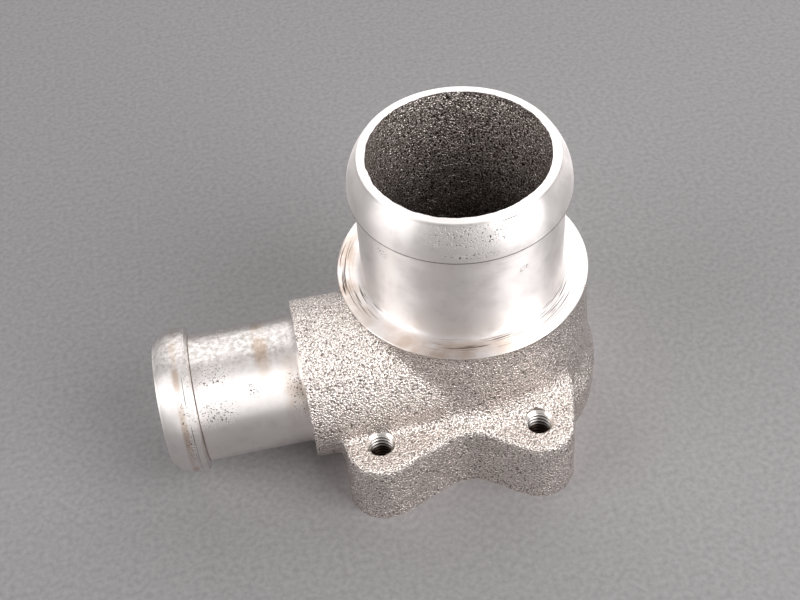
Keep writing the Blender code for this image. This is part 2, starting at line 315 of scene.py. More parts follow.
def window(tree, value, middle, reach):
    """A mask that is 1 where a value is near the middle and 0 beyond its reach."""
    off = add(tree, "ShaderNodeMath", {0: value, 1: middle}, operation="SUBTRACT")
    off = add(tree, "ShaderNodeMath", {0: off}, operation="ABSOLUTE")
    sockets = {"Value": off, "From Min": reach, "From Max": 0.4 * reach}
    return add(tree, "ShaderNodeMapRange", sockets)


def patches(tree, path, turn, places, pattern):
    """A pattern shown only at some places, each a path and a turn with a reach."""
    shown = 0.0
    for middle, reach, degrees, spread in places:
        along = window(tree, path, middle * MM, reach * MM)
        around = window(tree, turn, math.radians(degrees), math.radians(spread))
        both = add(tree, "ShaderNodeMath", {0: along, 1: around}, operation="MULTIPLY")
        shown = add(tree, "ShaderNodeMath", {0: shown, 1: both}, operation="MAXIMUM")
    return add(tree, "ShaderNodeMath", {0: shown, 1: pattern}, operation="MULTIPLY")


# %% [markdown]
# ## Turned aluminium
#
# Freshly cut aluminium is nearly white. Handling leaves duller clouds on it,
# coolant dries to tan stains, oxide shows as a grey bloom, and dirt settles
# in the pits and scratches, so those are both dark and dented.

# %% Turned aluminium
TURNED = "#F8F3F1"
WORN = "#D6CFCB"
DULL = "#B7B1AC"
STAIN = "#B8946F"
GRIME = "#54463F"
# A lathe's feed marks are 0.1 to 0.2 mm apart, too fine to show, so the
# rings are drawn coarser.
RING = 0.35 * MM
RING_DEPTH = 0.012 * MM
TONE = 5.0 * MM
PIT = 0.36 * MM
DENT_DEPTH = 0.08 * MM
BLOOM = 1.1 * MM
WEAR = 3.0 * MM
# A scratch is about 9 mm long and a quarter of a millimetre wide.
STROKES = (110.0, 3800.0, 0.0)


def turned_colour(tree, worn, bloom, brown, dark):
    """The colour of turned metal under its four kinds of mark, lightest first."""
    colour = linear(TURNED)
    for factor, mark in ((worn, WORN), (bloom, DULL), (brown, STAIN), (dark, GRIME)):
        layers = {"Factor": factor, MIX_A: colour, MIX_B: linear(mark)}
        colour = add(tree, "ShaderNodeMix", layers, MIX_RESULT, data_type="RGBA")
    return colour


def turned_aluminium(name, axis, centre, front, side, stains, dull, pits, scratches):
    """Lathe-turned aluminium with rings around an axis through centre.

    Each mark's place is a path and a reach in mm, then a turn from the front
    direction towards the side one and a spread, in degrees.
    """
    material, tree, shader, place = new_material(name)
    around, radius, path, turn = ring_places(tree, place, axis, centre, front, side)
    tree.links.new(around, shader.inputs["Tangent"])

    sockets = {"W": path, "Scale": 1 / RING, "Detail": 3.0}
    rings = add(tree, "ShaderNodeTexNoise", sockets, noise_dimensions="1D")
    tone = add(tree, "ShaderNodeTexNoise", {"Vector": place, "Scale": 1 / TONE, "Detail": 3.0})
    uneven = add(tree, "ShaderNodeMath", {0: rings, 1: tone}, operation="MULTIPLY")

    specks = add(tree, "ShaderNodeTexNoise", {"Vector": place, "Scale": 1 / PIT, "Detail": 1.0})
    specks = add(tree, "ShaderNodeMapRange", {"Value": specks, "From Min": 0.58, "From Max": 0.69})
    specks = patches(tree, path, turn, pits, specks)
    arc_length = add(tree, "ShaderNodeMath", {0: turn, 1: radius}, operation="MULTIPLY")
    flat = add(tree, "ShaderNodeCombineXYZ", {"X": arc_length, "Y": path})
    flat = add(tree, "ShaderNodeVectorMath", {0: flat, 1: STROKES}, operation="MULTIPLY")
    sockets = {"Vector": flat, "Scale": 1.0, "Detail": 1.0}
    lines = add(tree, "ShaderNodeTexNoise", sockets, noise_dimensions="2D")
    lines = add(tree, "ShaderNodeMapRange", {"Value": lines, "From Min": 0.58, "From Max": 0.68})
    lines = patches(tree, path, turn, scratches, lines)
    dark = add(tree, "ShaderNodeMath", {0: specks, 1: lines}, operation="MAXIMUM")

    limits = {"From Min": 0.3, "From Max": 0.6, "To Min": 0.0, "To Max": 0.5}
    brown = add(tree, "ShaderNodeMapRange", {"Value": tone, **limits})
    brown = patches(tree, path, turn, stains, brown)
    sockets = {"Vector": place, "Scale": 1 / BLOOM, "Detail": 4.0, "Roughness": 0.7}
    bloom = add(tree, "ShaderNodeTexNoise", sockets)
    bloom = add(tree, "ShaderNodeMapRange", {"Value": bloom, "From Min": 0.38, "From Max": 0.66})
    bloom = patches(tree, path, turn, dull, bloom)
    sockets = {"Vector": place, "Scale": 1 / WEAR, "Detail": 5.0, "Roughness": 0.65}
    worn = add(tree, "ShaderNodeTexNoise", sockets)
    limits = {"From Min": 0.5, "From Max": 0.9, "To Max": 0.6}
    worn = add(tree, "ShaderNodeMapRange", {"Value": worn, **limits})

    tree.links.new(turned_colour(tree, worn, bloom, brown, dark), shader.inputs["Base Color"])
    shader.inputs["Metallic"].default_value = 1.0
    shader.inputs["Anisotropic"].default_value = 0.9
    shader.inputs["Anisotropic Rotation"].default_value = 0.25
    limits = {"From Min": 0.1, "From Max": 0.45, "To Min": 0.36, "To Max": 0.54}
    gloss = add(tree, "ShaderNodeMapRange", {"Value": uneven, **limits})
    tree.links.new(gloss, shader.inputs["Roughness"])
    ridges = add(tree, "ShaderNodeBump", {"Height": rings, "Distance": RING_DEPTH, "Strength": 0.5})
    sockets = {"Height": dark, "Distance": DENT_DEPTH, "Strength": 1.0, "Normal": ridges}
    dents = add(tree, "ShaderNodeBump", sockets, invert=True)
    tree.links.new(dents, shader.inputs["Normal"])
    return material


print("lathe rings", RING / MM, "mm apart, pits", PIT / MM, "mm across")

# %% [markdown]
# ## Finish of the upright neck
#
# Its root and the shoulder are scratched and stained tan, and its bead is
# pitted in front. Each mark has a place of its own, because wear isn't
# spread evenly: the same marks all over would look like a pattern and not
# like use.

# %% Finish of the upright neck
FRONT, RIGHT, UP, LEFT = (0.0, -1.0, 0.0), (1.0, 0.0, 0.0), (0.0, 0.0, 1.0), (-1.0, 0.0, 0.0)

turned_upright = turned_aluminium(
    "turned aluminium",
    UP,
    NECK_AXIS,
    FRONT,
    RIGHT,
    stains=[(10.2, 3.2, -95.0, 50.0), (12.6, 1.0, 86.0, 16.0), (10.6, 3.4, -20.0, 48.0)],
    dull=[],
    pits=[
        (42.0, 3.6, -8.0, 26.0),
        (45.0, 0.8, -14.0, 16.0),
        (37.4, 0.9, -6.0, 18.0),
        (30.1, 0.9, 22.0, 4.0),
        (32.5, 1.1, -59.0, 6.0),
    ],
    scratches=[
        (12.2, 2.0, -6.0, 34.0),
        (12.8, 2.4, 47.0, 20.0),
        (12.8, 2.4, -74.0, 15.0),
        (10.0, 1.6, -96.0, 28.0),
        (44.8, 0.7, 15.0, 8.0),
    ],
)
print("upright neck:", len(turned_upright.node_tree.nodes), "nodes")

# %% [markdown]
# ## Finish of the side neck
#
# It is pitted along its front, stained at its bead and dull on top, where a
# grey bloom has settled. The neck lies along -X, so its path is told along
# that axis, and its turn from the top towards the front.

# %% Finish of the side neck
turned_side = turned_aluminium(
    "turned aluminium, side neck",
    LEFT,
    SIDE_AXIS,
    UP,
    FRONT,
    stains=[(46.8, 0.9, 60.0, 130.0), (31.0, 2.0, 0.0, 45.0), (25.0, 3.4, 50.0, 38.0)],
    dull=[(38.0, 22.0, -8.0, 36.0)],
    pits=[
        (41.5, 4.6, 24.0, 14.0),
        (41.5, 5.0, 57.0, 14.0),
        (33.9, 1.2, 41.0, 10.0),
        (46.4, 1.2, 66.0, 34.0),
        (25.3, 2.2, 52.0, 26.0),
    ],
    scratches=[(45.6, 0.4, 60.0, 60.0)],
)
print("side neck:", len(turned_side.node_tree.nodes), "nodes")

# %% [markdown]
# ## Cored bore
#
# A sand core leaves the inside of the passages as rough as the outside, but
# coolant has darkened it to a warm grey. To the eye it is a dark wall with
# black pits and fine bright specks, where bare metal stands out of the
# deposit. The same grain noise tells pit, wall and speck apart, and painted
# shade darkens the colour further down the bore.

# %% Cored bore
CORE_PIT = "#2B221C"
CORE_WALL = "#90817A"
CORE_SPECK = "#FFF6F0"
# Painted shade: below the first of these heights the bore's colour darkens, and it is darkest by
# the second.
CORE_DEPTH_SHADE = "#14100D"
DEPTH_SHADE_FROM = 52.0 * MM
DEPTH_SHADE_TO = 18.0 * MM
CORE_GRAIN_DEPTH = 0.6 * MM

cored, tree, shader, place = new_material("cored aluminium")
grain = add(tree, "ShaderNodeTexNoise", {"Vector": place, "Scale": 1 / GRAIN, "Detail": 1.0})
wall = add(tree, "ShaderNodeMapRange", {"Value": grain, "From Min": 0.38, "From Max": 0.5})
bare = add(tree, "ShaderNodeMapRange", {"Value": grain, "From Min": 0.5, "From Max": 0.58})
height = add(tree, "ShaderNodeSeparateXYZ", {0: place}, "Z")
# Painted shade: the colour darkens towards the bottom of the bore, where less light reaches.
limits = {"From Min": DEPTH_SHADE_FROM, "From Max": DEPTH_SHADE_TO, "To Max": 0.85}
depth_shade = add(tree, "ShaderNodeMapRange", {"Value": height, **limits})
tint = linear(CORE_PIT)
for factor, colour in ((wall, CORE_WALL), (bare, CORE_SPECK), (depth_shade, CORE_DEPTH_SHADE)):
    layers = {"Factor": factor, MIX_A: tint, MIX_B: linear(colour)}
    tint = add(tree, "ShaderNodeMix", layers, MIX_RESULT, data_type="RGBA")
tree.links.new(tint, shader.inputs["Base Color"])
tree.links.new(bare, shader.inputs["Metallic"])
shader.inputs["Roughness"].default_value = 0.22
bump = add(tree, "ShaderNodeBump", {"Height": grain, "Distance": CORE_GRAIN_DEPTH, "Strength": 1.0})
tree.links.new(bump, shader.inputs["Normal"])
print("bore", CORE_PIT, CORE_WALL, CORE_SPECK)

# %% [markdown]
# ## Milled joint face
#
# A mill leaves long, nearly straight lines across the foot. They are a noise
# stretched along X, fine in the bump and plain in the gloss. The real lines
# are about 0.2 mm apart, too fine to show, so they are drawn at 0.4 mm.

# %% Milled joint face
MILL_LINE = 0.4 * MM
MILL_STRETCH = (0.05, 1.0, 1.0)
MILL_DEPTH = 0.02 * MM
MILL_GREY = "#DEDCDA"

milled, tree, shader, place = new_material("milled aluminium")
stretched = add(tree, "ShaderNodeVectorMath", {0: place, 1: MILL_STRETCH}, operation="MULTIPLY")
sockets = {"Vector": stretched, "Scale": 1 / MILL_LINE, "Detail": 2.0}
lines = add(tree, "ShaderNodeTexNoise", sockets)
shader.inputs["Base Color"].default_value = linear(MILL_GREY)
shader.inputs["Metallic"].default_value = 1.0
gloss = add(tree, "ShaderNodeMapRange", {"Value": lines, "To Min": 0.25, "To Max": 0.45})
tree.links.new(gloss, shader.inputs["Roughness"])
bump = add(tree, "ShaderNodeBump", {"Height": lines, "Distance": MILL_DEPTH, "Strength": 0.5})
tree.links.new(bump, shader.inputs["Normal"])
print("milled lines", MILL_LINE / MM, "mm apart")

# %% [markdown]
# ## Tapped thread
#
# The tap cuts the thread's flanks bright and smooth. Further down the hole
# the turns are painted darker as shade, where little light reaches, so the
# colour fades with the height in the hole.

# %% Tapped thread
# Painted shade in the hole starts at the first height and is full at the second.
THREAD_SHADE_FROM = 15.0 * MM
THREAD_SHADE_TO = 11.5 * MM
THREAD_BRIGHT = "#EFE9E4"
THREAD_SHADE = "#2B221D"
SMEAR = 0.5 * MM

tapped, tree, shader, place = new_material("tapped aluminium thread")
wear = add(tree, "ShaderNodeTexNoise", {"Vector": place, "Scale": 1 / SMEAR, "Detail": 2.0})
height = add(tree, "ShaderNodeSeparateXYZ", {0: place}, "Z")
# Painted shade: the turns are painted darker further down the hole.
limits = {"From Min": THREAD_SHADE_FROM, "From Max": THREAD_SHADE_TO}
hole_shade = add(tree, "ShaderNodeMapRange", {"Value": height, **limits})
tones = {"Factor": hole_shade, MIX_A: linear(THREAD_BRIGHT), MIX_B: linear(THREAD_SHADE)}
tint = add(tree, "ShaderNodeMix", tones, MIX_RESULT, data_type="RGBA")
tree.links.new(tint, shader.inputs["Base Color"])
shader.inputs["Metallic"].default_value = 1.0
gloss = add(tree, "ShaderNodeMapRange", {"Value": wear, "To Min": 0.12, "To Max": 0.35})
tree.links.new(gloss, shader.inputs["Roughness"])
# Prints where the painted shade in the hole starts and ends.
print("oil from", THREAD_SHADE_FROM / MM, "down to", THREAD_SHADE_TO / MM, "mm")

# %% [markdown]
# ## Dried dirt and painted shade
#
# A hose's edge has left a thin line of dried coolant and dust at the step
# under each bead, where shade also falls, so this colour is partly dirt and
# partly painted shade. It is matt, and not metal, so it reads as a dark line
# all round.

# %% Dried dirt and painted shade
DIRT_SHADE_DARK = "#3A322D"
DIRT_SHADE_LIGHT = "#8C7F77"
CRUST = 0.9 * MM

# Painted shade: this dark line's colour stands partly for dried dirt and partly for the shade at
# the step under each bead.
dirt_and_shade, tree, shader, place = new_material("dried coolant dirt and painted shade")
crust = add(tree, "ShaderNodeTexNoise", {"Vector": place, "Scale": 1 / CRUST, "Detail": 2.0})
tones = {"Factor": crust, MIX_A: linear(DIRT_SHADE_DARK), MIX_B: linear(DIRT_SHADE_LIGHT)}
tint = add(tree, "ShaderNodeMix", tones, MIX_RESULT, data_type="RGBA")
tree.links.new(tint, shader.inputs["Base Color"])
shader.inputs["Roughness"].default_value = 0.6

FINISHES = [cast_skin, turned_upright, turned_side, cored, milled, tapped, dirt_and_shade]
CAST, TURNED_UP, TURNED_SIDE, CORED, MILLED, TAPPED, DIRT_AND_SHADE = range(len(FINISHES))
print("finishes:", [material.name for material in FINISHES])

# %% [markdown]
# ## Turned forms
#
# A lathe form starts as a half section of a few points, and the bmesh spin
# operator turns it about Z. A spin leaves doubles at the axis and can turn
# the shape inside out, so doubles are merged and normals worked out anew.
# Every form carries the whole list of finishes, and its faces name one of
# them, so a cut leaves the finish of its tool.

# %% Helpers for turned forms
WELD = 0.0001 * MM


def as_object(work, name, finish):
    """Closes a bmesh into an object whose faces have one finish."""
    bmesh.ops.remove_doubles(work, verts=work.verts, dist=WELD)
    bmesh.ops.recalc_face_normals(work, faces=work.faces)
    for face in work.faces:
        face.material_index = finish
    mesh = bpy.data.meshes.new(name)
    work.to_mesh(mesh)
    work.free()
    for material in FINISHES:
        mesh.materials.append(material)
    obj = bpy.data.objects.new(name, mesh)
    bpy.context.scene.collection.objects.link(obj)
    return obj


def turned(name, section, steps, finish, ring=False):
    """Spins a half section, from the top down its outer side, about Z."""
    work = bmesh.new()
    points = [work.verts.new((radius, 0.0, height)) for radius, height in section]
    edges = [work.edges.new(pair) for pair in zip(points, points[1:])]
    if ring:
        edges.append(work.edges.new((points[-1], points[0])))
    bmesh.ops.spin(
        work,
        geom=points + edges,
        cent=(0, 0, 0),
        axis=(0, 0, 1),
        angle=2 * math.pi,
        steps=steps,
        use_merge=True,
    )
    return as_object(work, name, finish)


def onto_side_axis(obj):
    """Lays a turned form along the side axis, its top towards -X."""
    lay = Matrix.Rotation(-math.pi / 2, 4, "Y")
    obj.data.transform(Matrix.Translation((0.0, SIDE_AXIS_Y, SIDE_AXIS_HEIGHT)) @ lay)
    return obj


# %% [markdown]
# ## Barrel and boss
#
# The pattern maker starts with plain round forms: a barrel with draft, so
# that it leaves the sand, on a flared foot, and a boss on its side. They
# stand a little too long at every end that is machined later, by the stock.

# %% Barrel and boss
SHOULDER_HEIGHT = 35.0 * MM
BARREL_TOP = 26.0 * MM
BARREL_SLOPE = math.tan(math.radians(3.2))
FOOT_RADIUS = 29.1 * MM
FOOT_HEIGHT = 7.3 * MM
FOOT_FLARE = 5.5 * MM
BOSS_RADIUS = 16.8 * MM
BOSS_DROP = 0.3 * MM
BOSS_FACE = 37.0 * MM
STOCK = 3.0 * MM
STEPS = 128


def barrel_radius(height):
    """Radius of the drafted barrel wall at a height."""
    return BARREL_TOP + (SHOULDER_HEIGHT - height) * BARREL_SLOPE


above = SHOULDER_HEIGHT + STOCK
waist = FOOT_HEIGHT + FOOT_FLARE
section = [(0.0, above), (barrel_radius(above), above), (barrel_radius(waist), waist)]
section += [(FOOT_RADIUS, FOOT_HEIGHT), (FOOT_RADIUS, -STOCK), (0.0, -STOCK)]
casting = turned("flange", section, STEPS, CAST)
above = BOSS_FACE + STOCK
section = [(0.0, above), (BOSS_RADIUS, above), (BOSS_RADIUS, 0.0), (0.0, 0.0)]
boss = onto_side_axis(turned("boss", section, STEPS, CAST))
boss.data.transform(Matrix.Translation((0.0, 0.0, -BOSS_DROP)))
print("barrel", len(casting.data.polygons), "faces, boss", len(boss.data.polygons))

# %% [markdown]
# ## Outline of the ears
#
# Two ears take the screws, and a wave-shaped wall joins them. Their plan is
# an outline of three arcs with the tangents between them. It is worked out
# from the arcs' centres and radii, so it stays smooth when one changes.

# %% Outline of the ears
EAR_LEFT = Vector((-23.96, -28.05)) * MM
EAR_RIGHT = Vector((8.83, -30.35)) * MM
EAR_RADIUS = 7.75 * MM
EAR_HEIGHT = 16.0 * MM
EAR_SLOPE = math.tan(math.radians(1.5))
VALLEY_CENTRE = Vector((-7.0, -38.0)) * MM
VALLEY_RADIUS = 7.9 * MM
EAR_FLANK = math.radians(-49.0)
EAR_STEPS = 28
VALLEY_STEPS = 24


def arc(centre, radius, start, end, steps):
    """Points along an arc, with its angles in radians."""
    turns = [start + (end - start) * i / steps for i in range(steps + 1)]
    x, y = centre
    return [(x + radius * math.cos(t), y + radius * math.sin(t)) for t in turns]


def tangent(centre, radius, other, other_radius, side):
    """Angles at which the inner tangent of two circles touches each."""
    gap = other - centre
    angle = math.atan2(gap.y, gap.x) + side * math.acos((radius + other_radius) / gap.length)
    return angle, angle + math.pi


def wrapped(angle, lowest):
    """The same angle in the turn that starts at lowest."""
    return lowest + (angle - lowest) % (2 * math.pi)


def ear_outline(draft):
    """Plan of the ears and the wall between them, drawn in by draft."""
    ear = EAR_RADIUS - draft
    valley = VALLEY_RADIUS + draft
    left_end, valley_start = tangent(EAR_LEFT, ear, VALLEY_CENTRE, valley, -1.0)
    right_start, valley_end = tangent(EAR_RIGHT, ear, VALLEY_CENTRE, valley, 1.0)
    valley_turn = wrapped(valley_start, 0.0), wrapped(valley_end, 0.0)
    flank = (FOOT_RADIUS - draft) * Vector((math.cos(EAR_FLANK), math.sin(EAR_FLANK)))
    reach = flank - EAR_RIGHT
    right_end = math.atan2(reach.y, reach.x) - math.acos(ear / reach.length)
    points = [(EAR_LEFT.x - ear, SIDE_AXIS_Y)]
    points += arc(EAR_LEFT, ear, -math.pi, wrapped(left_end, -math.pi), EAR_STEPS)
    points += arc(VALLEY_CENTRE, valley, *valley_turn, VALLEY_STEPS)
    points += arc(EAR_RIGHT, ear, wrapped(right_start, -math.pi), right_end, EAR_STEPS)
    # The outline closes inside the barrel, where nothing of it shows.
    points += [(flank.x, flank.y), (flank.x / 2, flank.y / 2), (-BARREL_TOP / 2, SIDE_AXIS_Y)]
    return points


print("ear outline:", len(ear_outline(0.0)), "points")

# %% [markdown]
# ## Block of the ears
#
# The ears have draft too, so they are wider at the joint face than on top.
# The outline is drawn at both heights, each with its own draft, and the
# bridge operator closes the wall between them.

# %% Ears
def ear_block(name, top):
    """The ears as a drafted block from under the joint face up to top."""
    work = bmesh.new()
    edges = []
    for height in (-STOCK, top):
        ring = [work.verts.new((x, y, height)) for x, y in ear_outline(height * EAR_SLOPE)]
        edges += [work.edges.new((ring[i - 1], ring[i])) for i in range(len(ring))]
        work.faces.new(ring)
    bmesh.ops.bridge_loops(work, edges=edges)
    return as_object(work, name, CAST)


ears = ear_block("ears", EAR_HEIGHT)
print("ears", len(ears.data.polygons), "faces")

# %% [markdown]
# ## Skirt
#
# Where the ears' top meets the barrel, the real casting rises in a wide
# hollow curve. A lathe form with that curve goes all the way round, so it is
# limited to the ears' own outline. From here on, boolean modifiers join and
# cut the forms, and each is applied at once.

# %% Skirt
SKIRT_REACH = 4.5 * MM
CURVE_STEPS = 8


def applied(obj):
    """Applies an object's modifiers to its mesh."""
    graph = bpy.context.evaluated_depsgraph_get()
    mesh = bpy.data.meshes.new_from_object(obj.evaluated_get(graph))
    obj.modifiers.clear()
    obj.data = mesh
    return obj


def combine(body, form, operation, solver="MANIFOLD"):
    """Joins a form to the body or cuts it away, and removes the form."""
    step = body.modifiers.new(form.name, "BOOLEAN")
    step.operation = operation
    step.solver = solver
    step.object = form
    applied(body)
    bpy.data.objects.remove(form, do_unlink=True)
    print(f"{operation.lower():10} {len(body.data.polygons)} faces")


top = EAR_HEIGHT + SKIRT_REACH
wall = barrel_radius(top)
section = [(0.0, top), (wall, top)]
section += arc((wall + SKIRT_REACH, top), SKIRT_REACH, math.pi, 1.5 * math.pi, CURVE_STEPS)[1:]
section += [(wall + SKIRT_REACH, EAR_HEIGHT - STOCK), (0.0, EAR_HEIGHT - STOCK)]
skirt = turned("skirt", section, STEPS, CAST)
combine(skirt, ear_block("limit", top + STOCK), "INTERSECT", "EXACT")

# %% [markdown]
# ## Blending the casting
#
# Foundry patterns have no sharp corners. A voxel remesh turns the joined
# forms into one even skin, and many smoothing passes round every corner by
# about a millimetre. A little noise then makes the skin as uneven as sand
# leaves it: a slow wave, a quicker ripple, and a slight sink that keeps
# their crests inside the nominal size.

# %% Blend
BLEND_GRID = 0.5 * MM
BLEND_PASSES = 24
BLEND_FACTOR = 0.5
UNEVEN = 0.06 * MM
WAVE = 4.0 * MM
RIPPLE = 1.6 * MM
SINK = 0.8

for form in (boss, ears, skirt):
    combine(casting, form, "UNION", "EXACT")
grid = casting.modifiers.new("grid", "REMESH")
grid.mode = "VOXEL"
grid.voxel_size = BLEND_GRID
smooth = casting.modifiers.new("blend", "SMOOTH")
smooth.factor = BLEND_FACTOR
smooth.iterations = BLEND_PASSES
applied(casting)
# Moving a vertex changes the normals around it, so all are kept beforehand.
outward = [vertex.normal.copy() for vertex in casting.data.vertices]
for vertex, normal in zip(casting.data.vertices, outward):
    wave = noise.noise(vertex.co / WAVE) + 0.5 * noise.noise(vertex.co / RIPPLE)
    vertex.co += normal * UNEVEN * (wave - SINK)
print("skin", len(casting.data.polygons), "faces")

# %% [markdown]
# ## Facing cuts
#
# A mill faces the foot, which becomes the joint face, and a lathe faces the
# end of the boss. The top is cut just under the shoulder, which is added as
# a turned piece of its own. Three boxes cut it all, and each leaves its
# tool's finish.

# %% Facing cuts
FAR = 0.15
SHOULDER_STEP = 0.3 * MM


def box_between(name, low, high, finish):
    """A box between two corners."""
    work = bmesh.new()
    bmesh.ops.create_cube(work, size=1.0)
    bmesh.ops.scale(work, vec=high - low, verts=work.verts)
    bmesh.ops.translate(work, vec=(high + low) / 2, verts=work.verts)
    return as_object(work, name, finish)


low, high = Vector((-FAR, -FAR, -FAR)), Vector((FAR, FAR, FAR))
foot_end = Vector((FAR, FAR, 0.0))
top_start = Vector((-FAR, -FAR, SHOULDER_HEIGHT - SHOULDER_STEP))
boss_end = Vector((-BOSS_FACE, FAR, FAR))
combine(casting, box_between("foot cut", low, foot_end, MILLED), "DIFFERENCE")
combine(casting, box_between("top cut", top_start, high, CAST), "DIFFERENCE")
combine(casting, box_between("boss cut", low, boss_end, TURNED_SIDE), "DIFFERENCE")

# %% [markdown]
# ## Shoulder
#
# The lathe faces a flat shoulder round the large neck and breaks its edge
# with a small chamfer. The rim below stays as cast and tapers into the
# barrel. It is a short lathe form, with its upright faces given back the
# cast finish.

# %% Shoulder
SHOULDER_RADIUS = 26.2 * MM
SHOULDER_DEPTH = 2.2 * MM
SHOULDER_CHAMFER = 0.12 * MM
SHOULDER_TAPER = 0.3 * MM
# The normal of an upright face rises by less than this.
UPRIGHT = 0.6

flat_radius = SHOULDER_RADIUS - SHOULDER_CHAMFER
below = SHOULDER_HEIGHT - SHOULDER_DEPTH
section = [(0.0, SHOULDER_HEIGHT), (flat_radius, SHOULDER_HEIGHT)]
section += [(SHOULDER_RADIUS, SHOULDER_HEIGHT - SHOULDER_CHAMFER)]
section += [(SHOULDER_RADIUS - SHOULDER_TAPER, below), (0.0, below)]
shoulder = turned("shoulder", section, STEPS, TURNED_UP)
for face in shoulder.data.polygons:
    if abs(face.normal.z) < UPRIGHT:
        face.material_index = CAST
combine(casting, shoulder, "UNION")

# %% [markdown]
# ## Turned necks
#
# Each neck has a flat rim, a domed bead that holds the hose, a crisp lip
# under the bead, a plain wall and a small fillet at its root. Both come from
# one section with different sizes, and a narrow ring of each carries a dark
# line, partly dirt and partly painted shade.

# %% Section of a neck
# The width of the dark line under each bead, partly dirt and partly painted shade.
DIRT_SHADE_LINE = 0.22 * MM
RIM_STEPS = 4
DOME_STEPS = 18


def in_metres(sizes):
    """A table of sizes in mm, turned into metres."""
    return {name: size * MM for name, size in sizes.items()}


def neck_section(end, root, rim, rim_round, bead, crest, lip, step, radius, fillet):
    """Half section of a hose neck, from the axis at its free end down.

    Heights are end, crest and root. Radii are rim, bead and radius, which is
    the plain wall's. The lip is upright below the crest, and the step leads
    from it down to the wall.
    """
    rim_top = end - rim_round
    points = [(0.0, end)]
    points += arc((rim - rim_round, rim_top), rim_round, math.pi / 2, 0.0, RIM_STEPS)
    swell = bead - rim
    rise = rim_top - crest
    dome = (rise**2 + swell**2) / (2 * swell)
    points += arc((bead - dome, crest), dome, math.asin(rise / dome), 0.0, DOME_STEPS)[1:]
    lip_end = crest - lip
    corner = lip_end - step
    points += [(bead, lip_end + DIRT_SHADE_LINE), (bead, lip_end)]
    points += [(radius, corner), (radius, corner - DIRT_SHADE_LINE)]
    foot = (radius + fillet, root + fillet)
    points += arc(foot, fillet, math.pi, 1.5 * math.pi, CURVE_STEPS)
    points += [(radius + fillet, root - STOCK), (0.0, root - STOCK)]
    return points


def soiled_and_shaded(form, highest):
    """Gives the narrow upright ring below a height, where dirt stays and shade is painted, its
    finish.
    """
    for face in form.data.polygons:
        if abs(face.normal.z) < UPRIGHT and highest - DIRT_SHADE_LINE < face.center.z < highest:
            face.material_index = DIRT_AND_SHADE
    return form


# Prints the width of the dark line of dirt and painted shade.
print("line of dirt", DIRT_SHADE_LINE / MM, "mm wide")

# %% [markdown]
# ## Large neck
#
# The large neck stands upright on the shoulder, with a full round bead and a
# short lip. The lip's lower edge is where dirt has dried on and where shade
# falls, so the dark line, partly dirt and partly painted shade, runs there.
# The neck is solid for now: one core cuts the passage through everything.

# %% Large neck
NECK_TOP = 65.7 * MM
LARGE_BEAD = {"rim": 19.9, "rim_round": 0.3, "bead": 22.2, "crest": 58.6, "lip": 0.9, "step": 0.7}
LARGE_WALL = {"radius": 21.0, "fillet": 1.6}
# The upper edge of the dark line, partly dirt and partly painted shade.
LARGE_DIRT_SHADE = 57.9 * MM

sizes = in_metres({**LARGE_BEAD, **LARGE_WALL})
section = neck_section(NECK_TOP, SHOULDER_HEIGHT, **sizes)
large_neck = soiled_and_shaded(turned("large neck", section, STEPS, TURNED_UP), LARGE_DIRT_SHADE)
combine(casting, large_neck, "UNION")

# %% [markdown]
# ## Small neck
#
# The small neck lies along the side axis. Its bead is shorter, with a longer
# lip and a lower step, and its dark line, partly dirt and partly painted
# shade, runs on the wall just under that step. It has fewer steps round, so
# that its faces are about as wide as the large neck's.

# %% Small neck
SMALL_END = 66.5 * MM
SMALL_BEAD = {"rim": 12.9, "rim_round": 0.3, "bead": 15.2, "crest": 61.9, "lip": 2.4, "step": 0.4}
SMALL_WALL = {"radius": 13.45, "fillet": 0.8}
# The upper edge of the dark line, partly dirt and partly painted shade.
SMALL_DIRT_SHADE = 59.1 * MM
SMALL_STEPS = 104

sizes = in_metres({**SMALL_BEAD, **SMALL_WALL})
section = neck_section(SMALL_END, BOSS_FACE, **sizes)
small_neck = soiled_and_shaded(turned("small neck", section, SMALL_STEPS, TURNED_SIDE), SMALL_DIRT_SHADE)
combine(casting, onto_side_axis(small_neck), "UNION")

# %% [markdown]
# ## Chip
#
# Something has knocked a small chip out of the shoulder's edge at the right.
# Metal breaks there in a rough hollow, and a coarse sphere cuts one.

# %% Chip in the shoulder's edge
CHIP = 0.65 * MM
CHIP_TURN = math.radians(-30.0)
CHIP_OUT = 0.25 * MM
CHIP_UP = 0.15 * MM

reach = SHOULDER_RADIUS + CHIP_OUT
sideways, ahead = reach * math.cos(CHIP_TURN), reach * math.sin(CHIP_TURN)
work = bmesh.new()
bmesh.ops.create_icosphere(work, subdivisions=2, radius=CHIP)
chip_place = (sideways, ahead, SHOULDER_HEIGHT + CHIP_UP)
bmesh.ops.translate(work, vec=chip_place, verts=work.verts)
combine(casting, as_object(work, "chip", CAST), "DIFFERENCE")

# %% [markdown]
# ## Cored passages
#
# A core makes each passage, so it has a little draft and an uneven wall. The
# cutter is a lathe form with many rings, pushed in and out by noise.

# %% Cored passages
CORE_UNEVEN = 0.18 * MM
CORE_WAVE = 3.5 * MM
CORE_RIPPLE = 1.1 * MM
CORE_RING = 1.2 * MM
CORE_DRAFT = math.tan(math.radians(0.6))
LARGE_CORE = 18.13 * MM
SMALL_CORE = 10.43 * MM
SMALL_CORE_STEPS = 88


